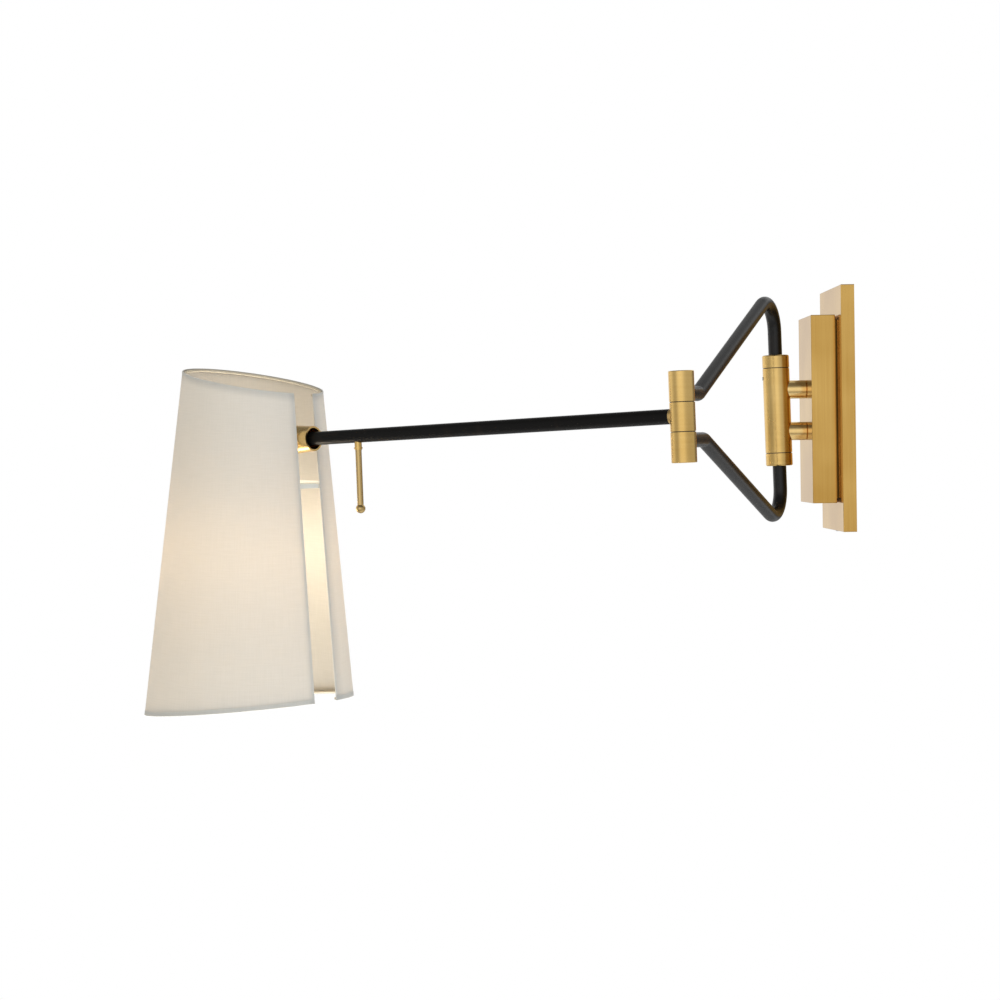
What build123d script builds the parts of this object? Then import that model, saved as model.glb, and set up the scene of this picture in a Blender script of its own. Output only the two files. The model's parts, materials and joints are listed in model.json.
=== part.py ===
from build123d import *
from math import atan2, cos, degrees, radians, sin, sqrt, tan
import os

# Millimetres, Z up; the wall is the plane Y = 0, the lamp reaches toward -Y, origin at the middle of the wall face
os.makedirs("parts", exist_ok=True)

# General clearances, edge breaks, and how far a cutter reaches past the face it opens
RUN_GAP = 0.05
FREE_GAP = 0.4
EDGE_R = 0.7
EDGE_CUT = 0.6
CUT_OVER = 1.0

# Wall plate, box and bracket
PLATE_W = 118.0
PLATE_H = 248.0
PLATE_T = 13.5
PLATE_WALL = 2.0
BOX_W = 75.0
BOX_H = 190.6
BOX_T = 26.6
BOX_WALL = 1.8
BOX_SEAM = 2.0
BOX_FLANGE_T = 1.5
BOX_FOOT_IN = 5.0
BOX_FOOT_W = 4.0
BRACKET_W = 24.0
BRACKET_T = 2.4
BRACKET_GAP = 1.0
BRACKET_TAB = 8.0
WALL_BOLT_PITCH = 88.9
WALL_SLOT_W = 5.2
WALL_SLOT_L = 16.0
EDGE_SCREW_D = 4.0
EDGE_SCREW_TIP = 2.5
EDGE_HEAD_D = 7.2
EDGE_HEAD_T = 1.2
DRIVER_SLOT_W = 0.8
DRIVER_SLOT_DEEP = 0.7
GROUND_SCREW_D = 4.0
GROUND_HEAD_D = 8.0
GROUND_HEAD_T = 2.2

# Standoffs and the threaded nipples that clamp them through box and plate
STANDOFF_D = 18.9
STANDOFF_L = 15.55
STANDOFF_Z = 21.4
NIPPLE_D = 10.0
NIPPLE_BORE = 6.5
NIPPLE_IN = 11.0
NIPPLE_PROUD = 1.5
NIPPLE_NUT_AF = 16.0
NIPPLE_NUT_T = 4.5

# Tubes of the swing frame and of the arm
TUBE_D = 14.0
TUBE_WALL = 1.2

# Wall pivot, with the lean at which it hangs
PIVOT_LEAN = 1.38
SLEEVE_D = 27.3
SLEEVE_H = 86.4
SLEEVE_WALL = 2.4
BUSH_H = 20.0
CAP_H = 12.9
CAP_ROUND = 1.6
SPINDLE_SHORT = 3.0
SEAM_T = 0.8
SEAM_INSET = 0.8
GRUB_D = 3.6
GRUB_PROUD = 0.5

# Swing frame, seen flat: leg at the pivot, struts running to the elbow
FRAME_L = 277.4
FRAME_TURN = 63.2
FRAME_TOP_Z = 124.2
FRAME_LOW_Z = 120.0
FRAME_BEND_R = 27.3
UPPER_STUB_L = 42.0
LOWER_STUB_L = 52.0
STUB_BEND_R = 14.0
FRAME_DROP = 6.1
FOOT_GAP = 1.5

# Elbow knuckles
KNUCKLE_D = 23.4
MID_KNUCKLE_H = 26.2
END_KNUCKLE_H = 27.8
STUB_SEAM = 0.4
STUB_WEB = 3.0
ROOT_WEB = 1.0
PIN_D = 8.0
PIN_BUSH_WALL = 1.5
PIN_HEAD_AF = 13.0
PIN_HEAD_T = 5.5
PLUG_D = 17.0
PLUG_T = 2.5
PLUG_GAP = 1.0

# Arm
ARM_L = 542.3
ARM_TURN = -38.32
ARM_SLOPE = 1.59
ARM_RISE = 0.8
ROOT_BOSS_D = 15.0
ROOT_BOSS_L = 0.3
ROOT_BOSS_ROUND = 0.15

# Pull switch under the arm
SWITCH_BACK = 151.0
PULL_SHANK_D = 4.0
PULL_STEM_D = 6.4
PULL_BALL_D = 9.8
PULL_DROP = 74.5
PULL_TRAVEL = 3.0
FERRULE_D = 7.4
FERRULE_L = 7.4
FERRULE_IN = 0.4
FERRULE_LIP = 0.7
FERRULE_LIP_T = 1.4
FERRULE_LIP_UP = 1.2
PULL_HEAD_D = 6.4
PULL_HEAD_T = 1.6
SWITCH_BODY_L = 14.0
SWITCH_GAP = 1.0

# Bell over the arm's end, and the tilting fork on the shade's axis
BELL_BACK_L = 38.0
BELL_MOUTH_D = 26.2
BELL_BACK_D = 30.6
BELL_TAPER_L = 30.0
BELL_BODY_L = 46.0
BELL_NECK_L = 6.0
BELL_NECK_D = 18.0
BELL_WALL = 1.8
TUBE_STOP = 2.0
SPIGOT_PLUG_L = 24.0
SPIGOT_NECK_D = 9.0
EYE_D = 18.0
EYE_W = 11.0
FORK_D = 22.0
FORK_CHEEK = 4.5
FORK_LOW = 15.0
TILT_SCREW_D = 6.0
TILT_HEAD_D = 14.0
TILT_HEAD_T = 6.0
TILT_THREAD_L = 4.8
TILT_NUT_ROUND = 1.5

# Lampholder and bulb, heights below the arm's axis at the hub
STEM_D = 10.0
STEM_IN = 3.9
CUP_D = 38.0
CUP_H = 20.0
CUP_WALL = 1.3
CUP_ROUND = 6.0
SOCKET_D = 34.0
SOCKET_L = 45.0
SOCKET_GAP = 0.6
SOCKET_SLOPE = 5.0
BULB_CAP_D = 26.2
BULB_CAP_L = 26.0
BULB_CAP_OUT = 2.0
BULB_NECK_D = 28.0
BULB_D = 60.0
BULB_L = 84.0
BULB_BLEND_R = 40.0

# Shade fitter
RING_BELOW = 44.5
RING_BAND_H = 4.6
RING_BAND_T = 1.5
RING_GAP = 0.25
FITTER_T = 1.6
FITTER_NUT_D = 45.0
FITTER_NUT_T = 4.0
FITTER_LIP = 4.0
SPOKE_W = 6.0
SPOKE_COUNT = 3

# Shade: a leaning cone cut by two sloping planes, open in a slit on the arm's side
HEAD_LEAN = 1.86
SHADE_TOP_R = 74.6
SHADE_BOTTOM_R = 111.4
SHADE_UP = 65.6
SHADE_DOWN = 281.8
SHADE_T = 1.2
TOP_TILT = 10.35
BOTTOM_TILT = 6.85
SLIT_TOP_W = 29.2
SLIT_BOTTOM_W = 34.3
RIM_WIRE_D = 2.6
RIM_INSET = 0.5
RIM_GAP = 0.15
RIM_POINTS = 28

# Derived places
PIVOT_Y = PLATE_T + BOX_T + STANDOFF_L + SLEEVE_D / 2
ELBOW_X = FRAME_L * sin(radians(FRAME_TURN))
ELBOW_Y = -FRAME_L * cos(radians(FRAME_TURN))
PIVOT_AT = Pos(0, -PIVOT_Y, 0) * Rot(PIVOT_LEAN, 0, 0)
FRAME_AT = PIVOT_AT * Rot(0, 0, FRAME_TURN - 90)
ELBOW_AT = PIVOT_AT * Pos(ELBOW_X, ELBOW_Y, -FRAME_DROP)
ARM_FLAT_AT = Pos(ELBOW_AT.position + Vector(0, 0, ARM_RISE)) * Rot(0, 0, ARM_TURN - 90)
ARM_AT = ARM_FLAT_AT * Rot(0, ARM_SLOPE, 0)
HEAD_SKEW_AT = ARM_AT * Pos(ARM_L, 0, 0)
HUB_AT = ARM_FLAT_AT * Pos(ARM_L * cos(radians(ARM_SLOPE)), 0, -ARM_L * sin(radians(ARM_SLOPE)))
HEAD_AT = HUB_AT * Rot(0, -HEAD_LEAN, 0)

TUBE_R = TUBE_D / 2
TUBE_BORE_R = TUBE_R - TUBE_WALL
STUB_Z = MID_KNUCKLE_H / 2 + SEAM_T + STUB_SEAM + TUBE_R
STUB_END = PIN_D / 2 + STUB_WEB
MID_ROOT = PIN_D / 2 + RUN_GAP + PIN_BUSH_WALL + ROOT_WEB
BELL_FRONT_L = BELL_BACK_L + BELL_NECK_L + BELL_BODY_L
TUBE_END = ARM_L - BELL_BACK_L + TUBE_STOP
CONE_RATE = (SHADE_BOTTOM_R - SHADE_TOP_R) / (SHADE_UP + SHADE_DOWN)
SHADE_SKIN = SHADE_T * sqrt(1 + CONE_RATE * CONE_RATE)
CUP_TOP = -FORK_LOW
SOCKET_TOP = CUP_TOP - CUP_WALL - SOCKET_GAP
SOCKET_END = SOCKET_TOP - SOCKET_L
BULB_CAP_TOP = SOCKET_END + BULB_CAP_L - BULB_CAP_OUT
BULB_NECK_Z = BULB_CAP_TOP - BULB_CAP_L


# Upright cylinder between two heights
def rod(r, z0, z1):
    return Pos(0, 0, (z0 + z1) / 2) * Cylinder(r, z1 - z0)


# Cylinder lying along X between two places
def bar(r, x0, x1):
    return Pos((x0 + x1) / 2, 0, 0) * Rot(0, 90, 0) * Cylinder(r, x1 - x0)


# Cylinder lying along Y between two places
def peg(r, y0, y1):
    return Pos(0, (y0 + y1) / 2, 0) * Rot(90, 0, 0) * Cylinder(r, y1 - y0)


# Hexagon standing on its flat between two heights
def hexagon(across, z0, z1):
    flat = RegularPolygon(across / sqrt(3), 6)
    return Pos(0, 0, z0) * extrude(flat, z1 - z0)


# Block between two corners
def block(x0, x1, y0, y1, z0, z1):
    return Pos((x0 + x1) / 2, (y0 + y1) / 2, (z0 + z1) / 2) * Box(x1 - x0, y1 - y0, z1 - z0)


# Point on a circle about (r, z), in the plane of radius and height
def on_arc(r, z, radius, angle):
    return (r + radius * cos(radians(angle)), z + radius * sin(radians(angle)))


# Solid turned about Z from (radius, height) steps; a step of two points is an arc through the first to the second
def turned(steps):
    edges = []
    last = steps[0]
    for step in steps[1:] + steps[:1]:
        curved = isinstance(step[0], tuple)
        end = step[1] if curved else step
        a = (last[0], 0, last[1])
        b = (end[0], 0, end[1])
        edges.append(ThreePointArc(a, (step[0][0], 0, step[0][1]), b) if curved else Line(a, b))
        last = end
    return revolve(make_face(Wire(edges)), Axis.Z)


# Wire through points in the XZ plane with rounded corners
def rounded_path(points, radii):
    edges = []
    last = Vector(points[0][0], 0, points[0][1])
    for i, radius in enumerate(radii, start=1):
        before = Vector(points[i - 1][0], 0, points[i - 1][1])
        corner = Vector(points[i][0], 0, points[i][1])
        after = Vector(points[i + 1][0], 0, points[i + 1][1])
        go_in = (corner - before).normalized()
        go_out = (after - corner).normalized()
        half = radians(go_in.get_angle(go_out)) / 2
        start = corner - go_in * (radius * tan(half))
        end = corner + go_out * (radius * tan(half))
        inward = (go_out - go_in).normalized()
        middle = corner + inward * (radius / cos(half) - radius)
        edges.append(Line(last, start))
        edges.append(ThreePointArc(start, middle, end))
        last = end
    edges.append(Line(last, Vector(points[-1][0], 0, points[-1][1])))
    return Wire(edges)


# Round tube swept along a wire that starts parallel to Z or X
def tube_along(path, outer, inner):
    start = Plane(origin=path @ 0, z_dir=path % 0)
    return sweep(start * (Circle(outer) - Circle(inner)), path=path)


# Block lying against Y = y1, smaller all round than a width and height
def panel(width, height, inset, y0, y1):
    return block(inset - width / 2, width / 2 - inset, y0, y1, inset - height / 2, height / 2 - inset)


# Open-backed tray with its front at y_front
def tray(width, height, y_front, y_back, wall, round_back):
    shell = panel(width, height, 0, y_front, y_back)
    kept = [] if round_back else shell.faces().sort_by(Axis.Y)[-1].edges()
    shell = fillet([edge for edge in shell.edges() if edge not in kept], EDGE_R)
    return shell - panel(width, height, wall, y_front + wall, y_back + CUT_OVER)


def nipple_holes(y0, y1):
    hole = peg(NIPPLE_D / 2, y0, y1)
    return Pos(0, 0, STANDOFF_Z) * hole + Pos(0, 0, -STANDOFF_Z) * hole


def back_plate():
    plate = tray(PLATE_W, PLATE_H, -PLATE_T, 0, PLATE_WALL, False)
    plate -= nipple_holes(-PLATE_T - CUT_OVER, 0)
    low = PLATE_H / 2 - PLATE_WALL - CUT_OVER
    for side in (1, -1):
        hole = Pos(0, -PLATE_T / 2, 0) * rod(EDGE_SCREW_D / 2, low, PLATE_H / 2 + CUT_OVER)
        plate -= Rot(0, 0 if side > 0 else 180, 0) * hole
    return plate


# Tray with a turned-in flange at its back and a foot that leaves a dark seam before the plate
def canopy_box():
    front = -PLATE_T - BOX_T
    back = -PLATE_T - BOX_SEAM
    box = tray(BOX_W, BOX_H, front, back, BOX_WALL, True)
    box += panel(BOX_W, BOX_H, BOX_WALL, back - BOX_FLANGE_T, back)
    box += panel(BOX_W, BOX_H, BOX_FOOT_IN, back, -PLATE_T)
    box -= panel(BOX_W, BOX_H, BOX_FOOT_IN + BOX_FOOT_W, back - BOX_FLANGE_T - CUT_OVER, -PLATE_T + CUT_OVER)
    return box - nipple_holes(front - CUT_OVER, -PLATE_T)


def wall_bracket():
    reach = PLATE_H / 2 - PLATE_WALL - BRACKET_GAP
    half = BRACKET_W / 2
    strap = block(-half, half, -BRACKET_T, 0, -reach, reach)
    for side in (1, -1):
        z0, z1 = sorted((side * reach, side * (reach - BRACKET_T)))
        strap += block(-half, half, -PLATE_T / 2 - BRACKET_TAB / 2, -BRACKET_T, z0, z1)
        hole = rod(EDGE_SCREW_D / 2, z0 - CUT_OVER, z1 + CUT_OVER)
        strap -= Pos(0, -PLATE_T / 2, 0) * hole
        slot = extrude(Rot(0, 0, 90) * SlotOverall(WALL_SLOT_L, WALL_SLOT_W), BRACKET_T + CUT_OVER, both=True)
        slot = Rot(90, 0, 0) * slot
        strap -= Pos(0, 0, side * WALL_BOLT_PITCH / 2) * slot
    return strap - peg(GROUND_SCREW_D / 2, -BRACKET_T - CUT_OVER, CUT_OVER)


def edge_screw(side):
    tip = PLATE_H / 2 - PLATE_WALL - BRACKET_GAP - BRACKET_T - EDGE_SCREW_TIP
    head = PLATE_H / 2 + EDGE_HEAD_T
    half = DRIVER_SLOT_W / 2
    screw = rod(EDGE_SCREW_D / 2, tip, PLATE_H / 2) + rod(EDGE_HEAD_D / 2, PLATE_H / 2, head)
    screw -= block(-EDGE_HEAD_D, EDGE_HEAD_D, -half, half, head - DRIVER_SLOT_DEEP, head + CUT_OVER)
    screw = Pos(0, -PLATE_T / 2, 0) * screw
    return screw if side > 0 else Rot(0, 180, 0) * screw


def ground_screw():
    head = peg(GROUND_HEAD_D / 2, -BRACKET_T - GROUND_HEAD_T, -BRACKET_T)
    return head + peg(GROUND_SCREW_D / 2, -BRACKET_T, 0)


def standoff(side):
    front = -PLATE_T - BOX_T
    post = peg(STANDOFF_D / 2, -PIVOT_Y, front)
    post = chamfer(post.edges().group_by(Axis.Y)[-1], EDGE_CUT)
    post -= peg(NIPPLE_D / 2, front - NIPPLE_IN, front + CUT_OVER)
    post = Pos(0, 0, side * STANDOFF_Z) * post
    return post - PIVOT_AT * rod(SLEEVE_D / 2, -SLEEVE_H, SLEEVE_H)


def nipple(side):
    y0 = -PLATE_T - BOX_T - NIPPLE_IN
    y1 = -PLATE_T + PLATE_WALL + NIPPLE_NUT_T + NIPPLE_PROUD
    pipe = peg(NIPPLE_D / 2, y0, y1) - peg(NIPPLE_BORE / 2, y0 - CUT_OVER, y1 + CUT_OVER)
    return Pos(0, 0, side * STANDOFF_Z) * pipe


def nipple_nut(side):
    nut = hexagon(NIPPLE_NUT_AF, 0, NIPPLE_NUT_T) - rod(NIPPLE_D / 2, -CUT_OVER, NIPPLE_NUT_T + CUT_OVER)
    return Pos(0, -PLATE_T + PLATE_WALL, side * STANDOFF_Z) * Rot(-90, 0, 0) * nut


def pivot_sleeve():
    sleeve = rod(SLEEVE_D / 2, -SLEEVE_H / 2, SLEEVE_H / 2)
    sleeve -= rod(SLEEVE_D / 2 - SLEEVE_WALL, -SLEEVE_H, SLEEVE_H)
    sleeve -= grub_hole()
    return PIVOT_AT * sleeve


def grub_hole():
    return Pos(0, 0, SLEEVE_H / 2 - BUSH_H / 2) * peg(GRUB_D / 2, -SLEEVE_D, 0)


def grub_screw():
    screw = Pos(0, 0, SLEEVE_H / 2 - BUSH_H / 2) * peg(GRUB_D / 2, -SLEEVE_D / 2 - GRUB_PROUD, 0)
    screw -= rod(SLEEVE_D / 2 - SLEEVE_WALL, 0, SLEEVE_H)
    return PIVOT_AT * screw


def pivot_bush(side):
    bush = rod(SLEEVE_D / 2 - SLEEVE_WALL, SLEEVE_H / 2 - BUSH_H, SLEEVE_H / 2)
    bush -= rod(TUBE_R + RUN_GAP, 0, SLEEVE_H)
    return PIVOT_AT * (bush if side > 0 else mirror(bush, Plane.XY))


def pivot_seam(side):
    ring = rod(SLEEVE_D / 2 - SEAM_INSET, SLEEVE_H / 2, SLEEVE_H / 2 + SEAM_T) - rod(TUBE_R, 0, SLEEVE_H)
    return FRAME_AT * (ring if side > 0 else mirror(ring, Plane.XY))


def pivot_cap(side):
    z0 = SLEEVE_H / 2 + SEAM_T
    cap = rod(SLEEVE_D / 2, z0, z0 + CAP_H)
    cap = fillet(cap.edges().group_by(Axis.Z)[-1], CAP_ROUND)
    cap -= rod(TUBE_R, 0, SLEEVE_H)
    return FRAME_AT * (cap if side > 0 else mirror(cap, Plane.XY))


def frame_tube(side):
    foot = side * (SLEEVE_H / 2 - BUSH_H - FOOT_GAP)
    corner = FRAME_TOP_Z if side > 0 else -FRAME_LOW_Z
    bend = FRAME_L - (UPPER_STUB_L if side > 0 else LOWER_STUB_L)
    stub = side * STUB_Z - FRAME_DROP
    points = [(0, foot), (0, corner), (bend, stub), (FRAME_L - STUB_END, stub)]
    path = rounded_path(points, [FRAME_BEND_R, STUB_BEND_R])
    return FRAME_AT * tube_along(path, TUBE_R, TUBE_BORE_R)


def pivot_spindle():
    reach = SLEEVE_H / 2 - SPINDLE_SHORT
    return FRAME_AT * rod(TUBE_BORE_R, -reach, reach)


def stub_hole(side):
    return Pos(0, 0, side * STUB_Z) * Rot(0, 0, FRAME_TURN - 90) * bar(TUBE_R, -FRAME_L, -STUB_END)


def end_knuckle(side):
    z0 = MID_KNUCKLE_H / 2 + SEAM_T
    z1 = z0 + END_KNUCKLE_H
    body = rod(KNUCKLE_D / 2, z0, z1)
    body = chamfer(body.edges().group_by(Axis.Z)[-1], EDGE_CUT)
    body -= rod(PIN_D / 2, 0, z1) + rod(PLUG_D / 2, pin_seat(), z1 + CUT_OVER)
    body = body if side > 0 else mirror(body, Plane.XY)
    return ELBOW_AT * (body - stub_hole(side))


def knuckle_seam(side):
    z0 = MID_KNUCKLE_H / 2
    ring = rod(KNUCKLE_D / 2 - SEAM_INSET, z0, z0 + SEAM_T) - rod(PIN_D / 2, 0, z0 + SEAM_T + CUT_OVER)
    return ELBOW_AT * (ring if side > 0 else mirror(ring, Plane.XY))


def knuckle_plug(side):
    z1 = MID_KNUCKLE_H / 2 + SEAM_T + END_KNUCKLE_H
    plug = rod(PLUG_D / 2, z1 - PLUG_T, z1)
    return ELBOW_AT * (plug if side > 0 else mirror(plug, Plane.XY))


def pin_seat():
    return MID_KNUCKLE_H / 2 + SEAM_T + END_KNUCKLE_H - PLUG_T - PIN_HEAD_T - PLUG_GAP


def knuckle_pin():
    seat = pin_seat()
    return ELBOW_AT * (rod(PIN_D / 2, -seat - PIN_HEAD_T, seat) + hexagon(PIN_HEAD_AF, seat, seat + PIN_HEAD_T))


def knuckle_nut():
    seat = pin_seat()
    nut = hexagon(PIN_HEAD_AF, -seat - PIN_HEAD_T, -seat)
    return ELBOW_AT * (nut - rod(PIN_D / 2, -seat - PIN_HEAD_T - CUT_OVER, -seat + CUT_OVER))


def mid_knuckle():
    body = rod(KNUCKLE_D / 2, -MID_KNUCKLE_H / 2, MID_KNUCKLE_H / 2)
    body -= rod(PIN_D / 2 + RUN_GAP + PIN_BUSH_WALL, -MID_KNUCKLE_H, MID_KNUCKLE_H)
    return ELBOW_AT * body - ARM_AT * bar(TUBE_R, MID_ROOT, KNUCKLE_D)


def knuckle_bush():
    bush = rod(PIN_D / 2 + RUN_GAP + PIN_BUSH_WALL, -MID_KNUCKLE_H / 2, MID_KNUCKLE_H / 2)
    return ELBOW_AT * (bush - rod(PIN_D / 2 + RUN_GAP, -MID_KNUCKLE_H, MID_KNUCKLE_H))


def root_boss():
    ring = bar(ROOT_BOSS_D / 2, KNUCKLE_D / 4, KNUCKLE_D / 2 + ROOT_BOSS_L)
    ring = fillet(ring.edges().group_by(Axis.X)[-1], ROOT_BOSS_ROUND) - bar(TUBE_R, 0, KNUCKLE_D * 2)
    return ARM_AT * ring - ELBOW_AT * rod(KNUCKLE_D / 2, -MID_KNUCKLE_H, MID_KNUCKLE_H)


def ferrule_hole():
    return Pos(ARM_L - SWITCH_BACK, 0, 0) * rod(FERRULE_D / 2, -TUBE_D, 0)


def arm_tube():
    pipe = bar(TUBE_R, MID_ROOT, TUBE_END) - bar(TUBE_BORE_R, 0, ARM_L)
    return ARM_AT * (pipe - ferrule_hole())


def switch_ferrule():
    low = -TUBE_R - FERRULE_L
    high = -TUBE_BORE_R + FERRULE_IN
    lip = low + FERRULE_LIP_UP
    ferrule = rod(FERRULE_D / 2, low, high) + rod(FERRULE_D / 2 + FERRULE_LIP, lip, lip + FERRULE_LIP_T)
    ferrule -= rod(PULL_SHANK_D / 2 + RUN_GAP, low - CUT_OVER, high + CUT_OVER)
    return ARM_AT * Pos(ARM_L - SWITCH_BACK, 0, 0) * ferrule


def switch_body():
    x0 = ARM_L - SWITCH_BACK + PULL_HEAD_D / 2 + SWITCH_GAP
    return ARM_AT * bar(TUBE_BORE_R, x0, x0 + SWITCH_BODY_L)


def pull_rod():
    low = -TUBE_R - FERRULE_L
    head = -TUBE_BORE_R + FERRULE_IN + PULL_TRAVEL + FREE_GAP
    lever = rod(PULL_SHANK_D / 2, low, head) + rod(PULL_HEAD_D / 2, head, head + PULL_HEAD_T)
    lever += rod(PULL_STEM_D / 2, -PULL_DROP, low)
    lever += Pos(0, 0, -PULL_DROP) * Sphere(PULL_BALL_D / 2)
    return ARM_AT * Pos(ARM_L - SWITCH_BACK, 0, 0) * lever


def tilt_eye():
    end = BELL_BACK_L - TUBE_STOP
    eye = peg(EYE_D / 2, -EYE_W / 2, EYE_W / 2) + bar(SPIGOT_NECK_D / 2, -end, -EYE_D / 4)
    eye += bar(TUBE_BORE_R, -end - SPIGOT_PLUG_L, -end)
    return HEAD_SKEW_AT * (eye - peg(TILT_SCREW_D / 2 + RUN_GAP, -EYE_W, EYE_W))


def arm_bell():
    wide = BELL_BACK_D / 2
    neck = BELL_NECK_D / 2
    mouth = BELL_MOUTH_D / 2
    back = BELL_BACK_L + BELL_NECK_L
    tip = BELL_FRONT_L
    bend = wide - neck
    inner = bend - BELL_WALL
    steps = [(TUBE_R, BELL_BACK_L), (neck, BELL_BACK_L), (neck, back),
             (on_arc(neck, back + bend, bend, -45), (wide, back + bend)),
             (wide, tip - BELL_TAPER_L), (mouth, tip), (mouth - BELL_WALL, tip),
             (wide - BELL_WALL, tip - BELL_TAPER_L), (wide - BELL_WALL, back + bend),
             (on_arc(neck, back + bend, inner, -45), (neck, back + BELL_WALL)), (TUBE_R, back + BELL_WALL)]
    return HEAD_SKEW_AT * Rot(0, -90, 0) * turned(steps)


def tilt_fork():
    half = EYE_W / 2 + FORK_CHEEK
    r = FORK_D / 2
    fork = peg(r, -half, half) + block(-r, r, -half, half, -FORK_LOW, 0)
    fork -= block(-r * 2, r * 2, -EYE_W / 2, EYE_W / 2, -EYE_D / 2 - FREE_GAP, FORK_D)
    fork -= peg(TILT_SCREW_D / 2, -half * 2, half * 2)
    return HEAD_AT * (fork - rod(STEM_D / 2, -FORK_LOW * 2, CUP_TOP + STEM_IN))


def tilt_screw():
    half = EYE_W / 2 + FORK_CHEEK
    screw = peg(TILT_SCREW_D / 2, -half, half + TILT_THREAD_L)
    head = peg(TILT_HEAD_D / 2, -half - TILT_HEAD_T, -half)
    return HEAD_AT * (screw + chamfer(head.edges().filter_by(GeomType.CIRCLE), EDGE_CUT))


def tilt_nut():
    half = EYE_W / 2 + FORK_CHEEK
    nut = peg(TILT_HEAD_D / 2, half, half + TILT_HEAD_T)
    nut = fillet(nut.edges().group_by(Axis.Y)[-1], TILT_NUT_ROUND)
    return HEAD_AT * (nut - peg(TILT_SCREW_D / 2, half - CUT_OVER, half + TILT_THREAD_L))


def socket_stem():
    return HEAD_AT * rod(STEM_D / 2, SOCKET_TOP, CUP_TOP + STEM_IN)


def socket_cup():
    r = CUP_D / 2
    low = CUP_TOP - CUP_H
    bend = r - CUP_ROUND
    level = CUP_TOP - CUP_ROUND
    inside = CUP_ROUND - CUP_WALL
    steps = [(STEM_D / 2, CUP_TOP), (bend, CUP_TOP), (on_arc(bend, level, CUP_ROUND, 45), (r, level)),
             (r, low), (r - CUP_WALL, low), (r - CUP_WALL, level),
             (on_arc(bend, level, inside, 45), (bend, level + inside)), (STEM_D / 2, level + inside)]
    return HEAD_AT * turned(steps)


def socket_body():
    hole = BULB_CAP_D / 2 + FREE_GAP
    body = rod(SOCKET_D / 2, SOCKET_END, SOCKET_TOP)
    body = chamfer(body.edges().group_by(Axis.Z)[-1], SOCKET_SLOPE)
    return HEAD_AT * (body - rod(hole, SOCKET_END - CUT_OVER, BULB_CAP_TOP + FREE_GAP))


def fitter_nut(side):
    half = FITTER_T / 2
    z0, z1 = sorted((side * half, side * (half + FITTER_NUT_T)))
    nut = rod(FITTER_NUT_D / 2, z0, z1) - rod(SOCKET_D / 2, z0 - CUT_OVER, z1 + CUT_OVER)
    return HEAD_AT * Pos(0, 0, -RING_BELOW) * nut


def ring_radius():
    top = -RING_BELOW + RING_BAND_H / 2
    return SHADE_TOP_R + CONE_RATE * (SHADE_UP - top) - SHADE_SKIN - RING_GAP


def shade_ring():
    r = ring_radius()
    band = rod(r, -RING_BAND_H / 2, RING_BAND_H / 2) - rod(r - RING_BAND_T, -RING_BAND_H, RING_BAND_H)
    return HEAD_AT * Pos(0, 0, -RING_BELOW) * band


def shade_spider():
    half = FITTER_T / 2
    inner = SOCKET_D / 2
    reach = ring_radius() - RING_BAND_T
    spider = rod(FITTER_NUT_D / 2 + FITTER_LIP, -half, half)
    for i in range(SPOKE_COUNT):
        spoke = block(inner, reach + RING_BAND_T, -SPOKE_W / 2, SPOKE_W / 2, -half, half)
        spider += Rot(0, 0, i * 360 / SPOKE_COUNT) * spoke
    spider -= rod(inner, -RING_BELOW, RING_BELOW)
    spider &= rod(reach, -RING_BELOW, RING_BELOW)
    return HEAD_AT * Pos(0, 0, -RING_BELOW) * spider


def slit_cutter():
    far = SHADE_BOTTOM_R * 2
    over = SHADE_BOTTOM_R
    rate = (SLIT_BOTTOM_W - SLIT_TOP_W) / (SHADE_UP + SHADE_DOWN)
    top = SLIT_TOP_W / 2 - rate * over / 2
    low = SLIT_BOTTOM_W / 2 + rate * over / 2
    z1 = SHADE_UP + over
    z0 = -SHADE_DOWN - over
    face = make_face(Polyline((0, -top, z1), (0, top, z1), (0, low, z0), (0, -low, z0), close=True))
    return extrude(face, far, dir=(-1, 0, 0))


def shade():
    over = SHADE_BOTTOM_R / 2
    r_top = SHADE_TOP_R - CONE_RATE * over
    r_low = SHADE_BOTTOM_R + CONE_RATE * over
    z1 = SHADE_UP + over
    z0 = -SHADE_DOWN - over
    cone = turned([(r_top, z1), (r_low, z0), (r_low - SHADE_SKIN, z0), (r_top - SHADE_SKIN, z1)])
    size = SHADE_BOTTOM_R * 4
    cone -= Pos(0, 0, SHADE_UP) * Rot(0, -TOP_TILT, 0) * Pos(0, 0, size / 2) * Box(size, size, size)
    cone -= Pos(0, 0, -SHADE_DOWN) * Rot(0, BOTTOM_TILT, 0) * Pos(0, 0, -size / 2) * Box(size, size, size)
    return HEAD_AT * (cone - slit_cutter())


# Wire just inside the rim of the shade, in the rim's own sloping plane
def rim_wire(level, tilt, slit, inward):
    slope = tan(radians(tilt))
    r_wire = RIM_WIRE_D / 2
    z_mid = level + inward * (r_wire + RIM_INSET)
    gap = r_wire * sqrt(1 + CONE_RATE * CONE_RATE) + SHADE_SKIN + RIM_GAP
    flat = SHADE_TOP_R + CONE_RATE * (SHADE_UP - z_mid) - gap
    open_half = degrees((slit / 2 + r_wire) / flat)
    points = []
    for i in range(RIM_POINTS + 1):
        turn = radians(180 + open_half + (360 - 2 * open_half) * i / RIM_POINTS)
        r = flat / (1 + CONE_RATE * slope * cos(turn))
        points.append(Vector(r * cos(turn), r * sin(turn), z_mid + slope * r * cos(turn)))
    path = Wire([Spline(*points)])
    start = Plane(origin=path @ 0, z_dir=path % 0)
    return HEAD_AT * sweep(start * Circle(r_wire), path=path)


def bulb_cap():
    return HEAD_AT * rod(BULB_CAP_D / 2, BULB_NECK_Z, BULB_CAP_TOP)


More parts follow.
